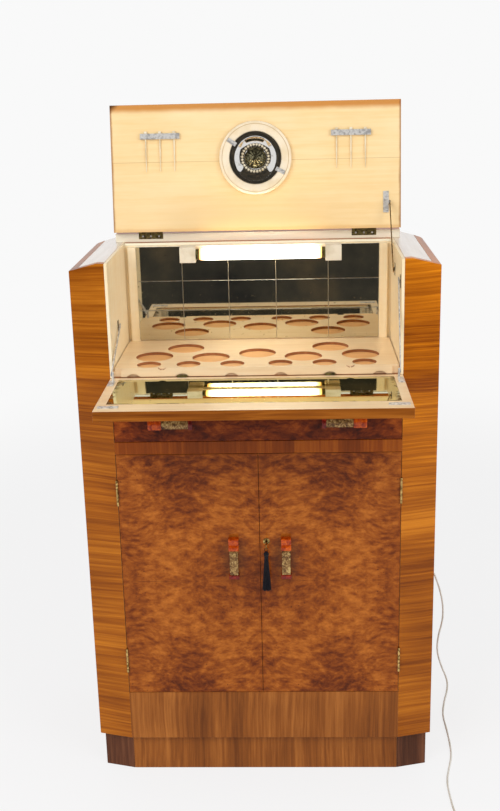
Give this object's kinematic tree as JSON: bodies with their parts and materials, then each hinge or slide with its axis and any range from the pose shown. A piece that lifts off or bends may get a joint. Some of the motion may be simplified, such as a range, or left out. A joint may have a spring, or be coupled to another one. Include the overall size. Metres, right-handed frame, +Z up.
{
  "type": "bar cabinet",
  "caption": "Freestanding cocktail cabinet with canted corners, a lifting lid with a squeezer, a falling mirrored flap, a drawer and a two-door cupboard.",
  "frame": {"origin": "middle of the underside of the plinth", "axes": "+Z up, the front faces -Y, +X to the right seen from the front"},
  "size_m": [0.8647, 0.8477, 1.4689],
  "materials": {
    "bakelite": "marbled orange",
    "bare_wood": "unfinished",
    "brass": "aged",
    "chrome": "polished plate",
    "cord_plastic": "matte cream",
    "lacquer": "high gloss lacquer, cream",
    "mirror": "silvered glass",
    "pale_wood": "polished pale veneer",
    "steel": "worn",
    "thread": "silk thread, black",
    "tube_glass": "opal",
    "walnut": "high gloss polished veneer",
    "white_plastic": "gloss",
    "white_tray": "gloss white paint"
  },
  "bodies": {
    "case": {"apron_panel": "walnut", "back_panel": "bare_wood", "bar_floor": "bare_wood", "bar_walls": "pale_wood", "bearers": "bare_wood", "cord_coil": "cord_plastic", "cord_gland": "cord_plastic", "cupboard_floor": "bare_wood", "cupboard_shelf": "bare_wood", "cupboard_walls": "bare_wood", "door_rail": "walnut", "fixed_hinge_leaves": "brass", "glass_tray": "white_tray", "hinge_pins": "steel", "hinge_rail": "walnut", "lamp_fitting": "white_plastic", "lamp_tube": "tube_glass", "mirror_frame": "white_tray", "mirror_tiles": "mirror", "pilasters": "walnut", "plinth_boards": "walnut", "plug": "white_plastic", "power_cord": "cord_plastic", "rear_top_boards": "walnut", "runner_board": "bare_wood", "side_panels": "walnut", "stay_studs": "steel", "tray_rail": "white_tray", "wing_tops": "walnut"},
    "lid": {"lid_panel": "pale_wood", "lid_hinge_leaves": "brass", "squeezer_ring": "lacquer", "squeezer_dish": "chrome", "squeezer_reamer": "chrome", "lid_fittings": "chrome"},
    "lid_stay": {"lid_stay": "steel"},
    "clip_upper": {"clip_upper": "chrome"},
    "clip_lower": {"clip_lower": "chrome"},
    "sticks_left": {"sticks_left": "chrome"},
    "sticks_right": {"sticks_right": "chrome"},
    "flap": {"flap_panel": "walnut", "flap_mirror": "mirror", "flap_fittings": "chrome", "flap_hinge_leaves": "brass"},
    "flap_stay_left": {"flap_stay_left": "steel"},
    "flap_stay_right": {"flap_stay_right": "steel"},
    "door_left": {"door_left": "walnut", "door_left_handle": "bakelite", "door_left_hinge_leaves": "brass"},
    "door_right": {"door_right": "walnut", "door_right_handle": "bakelite", "door_right_hinge_leaves": "brass", "lock_case": "steel", "escutcheon": "brass"},
    "lock_bolt": {"lock_bolt": "brass"},
    "key": {"key": "brass"},
    "key_tassel": {"key_tassel": "thread"},
    "drawer": {"drawer_front": "walnut", "drawer_box": "bare_wood", "drawer_handles": "bakelite"}
  },
  "joints": [
    {"name": "lid_hinge", "type": "hinge", "parent": "case", "child": "lid", "pos_m": [0, 0.082, 1.1949], "axis": [1, 0, 0], "range_deg": [0, 98]},
    {"name": "lid_stay_pivot", "type": "hinge", "parent": "lid", "child": "lid_stay", "pos_m": [0.29, 0.05953, 1.25562], "axis": [-1, 0, 0], "range_deg": [0, 121.01]},
    {"name": "flap_hinge", "type": "hinge", "parent": "case", "child": "flap", "pos_m": [0, -0.195, 0.9397], "axis": [-1, 0, 0], "range_deg": [0, 90]},
    {"name": "flap_stay_right_pivot", "type": "hinge", "parent": "flap", "child": "flap_stay_right", "pos_m": [0.29, -0.239, 0.956], "axis": [1, 0, 0], "range_deg": [0, 109.34]},
    {"name": "flap_stay_left_pivot", "type": "hinge", "parent": "flap", "child": "flap_stay_left", "pos_m": [-0.29, -0.239, 0.956], "axis": [1, 0, 0], "range_deg": [0, 89.56]},
    {"name": "door_left_hinge", "type": "hinge", "parent": "case", "child": "door_left", "pos_m": [-0.2995, -0.1977, 0.488], "axis": [0, 0, -1], "range_deg": [0, 110]},
    {"name": "door_right_hinge", "type": "hinge", "parent": "case", "child": "door_right", "pos_m": [0.2995, -0.1977, 0.488], "axis": [0, 0, 1], "range_deg": [0, 110]},
    {"name": "drawer_slide", "type": "slide", "parent": "case", "child": "drawer", "axis": [0, -1, 0], "range_m": [0, 0.25]},
    {"name": "key_turn", "type": "hinge", "parent": "door_right", "child": "key", "pos_m": [0.014, -0.195, 0.571], "axis": [0, 1, 0], "range_deg": [0, 90]},
    {"name": "bolt_slide", "type": "slide", "parent": "door_right", "child": "lock_bolt", "axis": [-1, 0, 0], "range_m": [0, 0.008]},
    {"name": "tassel_swing", "type": "hinge", "parent": "key", "child": "key_tassel", "pos_m": [0.014, -0.2245, 0.5636], "axis": [0, 1, 0], "range_deg": [-90, 90]},
    {"name": "clip_upper_turn", "type": "hinge", "parent": "lid", "child": "clip_upper", "pos_m": [-0.05555, 0.07654, 1.39103], "axis": [0, -0.9903, 0.1392], "range_deg": [0, 120]},
    {"name": "clip_lower_turn", "type": "hinge", "parent": "lid", "child": "clip_lower", "pos_m": [0.05916, 0.06695, 1.32278], "axis": [0, -0.9903, 0.1392], "range_deg": [0, 120]},
    {"name": "sticks_left_lift", "type": "slide", "parent": "lid", "child": "sticks_left", "axis": [0, 0.1392, 0.9903], "range_m": [0, 0.06]},
    {"name": "sticks_right_lift", "type": "slide", "parent": "lid", "child": "sticks_right", "axis": [0, 0.1392, 0.9903], "range_m": [0, 0.06]}
  ],
  "couplings": [
    {"joint": "lid_stay_pivot", "follows": "lid_hinge", "ratio": 1.2338},
    {"joint": "flap_stay_right_pivot", "follows": "flap_hinge", "ratio": 1.2138},
    {"joint": "flap_stay_left_pivot", "follows": "flap_hinge", "ratio": 0.99403},
    {"joint": "bolt_slide", "follows": "key_turn", "m_per_rad": 0.005093}
  ]
}
